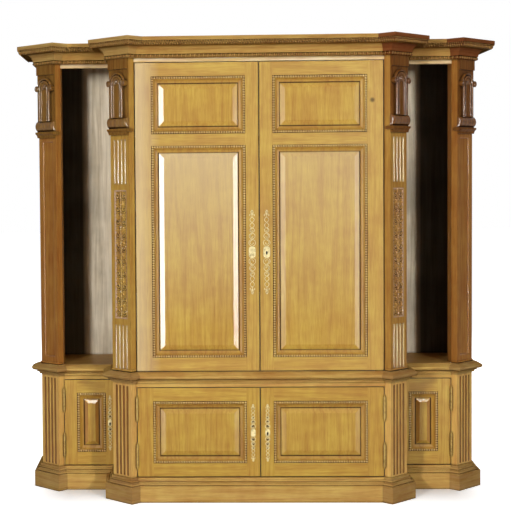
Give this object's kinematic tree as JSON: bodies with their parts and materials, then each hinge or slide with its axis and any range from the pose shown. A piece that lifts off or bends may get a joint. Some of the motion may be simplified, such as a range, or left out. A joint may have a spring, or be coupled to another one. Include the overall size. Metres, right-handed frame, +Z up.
{
  "type": "library cabinet",
  "caption": "Tall oak breakfront library cabinet with diagonal fluted posts, carved corbels, open side niches and panelled hinged doors over a cupboard base.",
  "frame": {"origin": "on the floor, under the middle of the cabinet's box", "axes": "+Z up, +X to the viewer's right, the doors face -Y"},
  "size_m": [2.564, 0.9436, 2.4],
  "materials": {
    "carcase_oak": "waxed oak boards",
    "door_oak": "polished golden oak",
    "panel_oak": "polished golden oak, fielded",
    "moulding_oak": "polished oak, carved beads",
    "post_oak": "polished darker oak, fluted",
    "brass": "lacquered cast brass",
    "lock_brass": "dull brass lock work"
  },
  "bodies": {
    "carcase": {"base_back": "carcase_oak", "base_ends": "carcase_oak", "base_floor": "carcase_oak", "base_inner_posts": "post_oak", "base_outer_posts": "post_oak", "base_partitions": "carcase_oak", "base_rails": "moulding_oak", "corbels": "post_oak", "cornice": "moulding_oak", "door_pivots": "brass", "frieze": "moulding_oak", "plinth": "moulding_oak", "post_hinges": "brass", "roof": "carcase_oak", "shelves": "carcase_oak", "surbase_moulding": "moulding_oak", "upper_back": "carcase_oak", "upper_ends": "carcase_oak", "upper_inner_posts": "post_oak", "upper_outer_posts": "post_oak", "upper_partitions": "carcase_oak", "waist_board": "carcase_oak"},
    "lower_left_door": {"lower_left_escutcheon": "brass", "lower_left_frame": "door_oak", "lower_left_hinges": "brass", "lower_left_mouldings": "moulding_oak", "lower_left_panels": "panel_oak"},
    "lower_right_bolt": {"lower_right_bolt": "lock_brass"},
    "lower_right_door": {"lower_right_escutcheon": "brass", "lower_right_frame": "door_oak", "lower_right_hinges": "brass", "lower_right_lock": "lock_brass", "lower_right_mouldings": "moulding_oak", "lower_right_panels": "panel_oak"},
    "side_left_bolt": {"side_left_bolt": "lock_brass"},
    "side_left_door": {"side_left_escutcheon": "brass", "side_left_frame": "door_oak", "side_left_hinges": "brass", "side_left_lock": "lock_brass", "side_left_mouldings": "moulding_oak", "side_left_panels": "panel_oak"},
    "side_right_bolt": {"side_right_bolt": "lock_brass"},
    "side_right_door": {"side_right_escutcheon": "brass", "side_right_frame": "door_oak", "side_right_hinges": "brass", "side_right_lock": "lock_brass", "side_right_mouldings": "moulding_oak", "side_right_panels": "panel_oak"},
    "upper_left_door": {"upper_left_escutcheon": "brass", "upper_left_frame": "door_oak", "upper_left_hinges": "brass", "upper_left_mouldings": "moulding_oak", "upper_left_panels": "panel_oak"},
    "upper_right_bolt": {"upper_right_bolt": "lock_brass"},
    "upper_right_door": {"upper_right_escutcheon": "brass", "upper_right_frame": "door_oak", "upper_right_hinges": "brass", "upper_right_lock": "lock_brass", "upper_right_mouldings": "moulding_oak", "upper_right_panels": "panel_oak"}
  },
  "joints": [
    {"name": "upper_left_swing", "type": "hinge", "parent": "carcase", "child": "upper_left_door", "pos_m": [-0.627, -0.28222, 1.4775], "axis": [0, 0, -1], "range_deg": [0, 100]},
    {"name": "upper_right_swing", "type": "hinge", "parent": "carcase", "child": "upper_right_door", "pos_m": [0.627, -0.28222, 1.4775], "axis": [0, 0, 1], "range_deg": [0, 100]},
    {"name": "lower_left_swing", "type": "hinge", "parent": "carcase", "child": "lower_left_door", "pos_m": [-0.64, -0.29722, 0.36], "axis": [0, 0, -1], "range_deg": [0, 100]},
    {"name": "lower_right_swing", "type": "hinge", "parent": "carcase", "child": "lower_right_door", "pos_m": [0.64, -0.29722, 0.36], "axis": [0, 0, 1], "range_deg": [0, 100]},
    {"name": "side_left_swing", "type": "hinge", "parent": "carcase", "child": "side_left_door", "pos_m": [-1.044, 0.00678, 0.36], "axis": [0, 0, -1], "range_deg": [0, 100]},
    {"name": "side_right_swing", "type": "hinge", "parent": "carcase", "child": "side_right_door", "pos_m": [1.044, 0.00678, 0.36], "axis": [0, 0, 1], "range_deg": [0, 100]},
    {"name": "upper_right_bolt_slide", "type": "slide", "parent": "upper_right_door", "child": "upper_right_bolt", "axis": [-1, 0, 0], "range_m": [0, 0.01]},
    {"name": "lower_right_bolt_slide", "type": "slide", "parent": "lower_right_door", "child": "lower_right_bolt", "axis": [-1, 0, 0], "range_m": [0, 0.01]},
    {"name": "side_left_bolt_slide", "type": "slide", "parent": "side_left_door", "child": "side_left_bolt", "axis": [1, 0, 0], "range_m": [0, 0.01]},
    {"name": "side_right_bolt_slide", "type": "slide", "parent": "side_right_door", "child": "side_right_bolt", "axis": [-1, 0, 0], "range_m": [0, 0.01]}
  ]
}
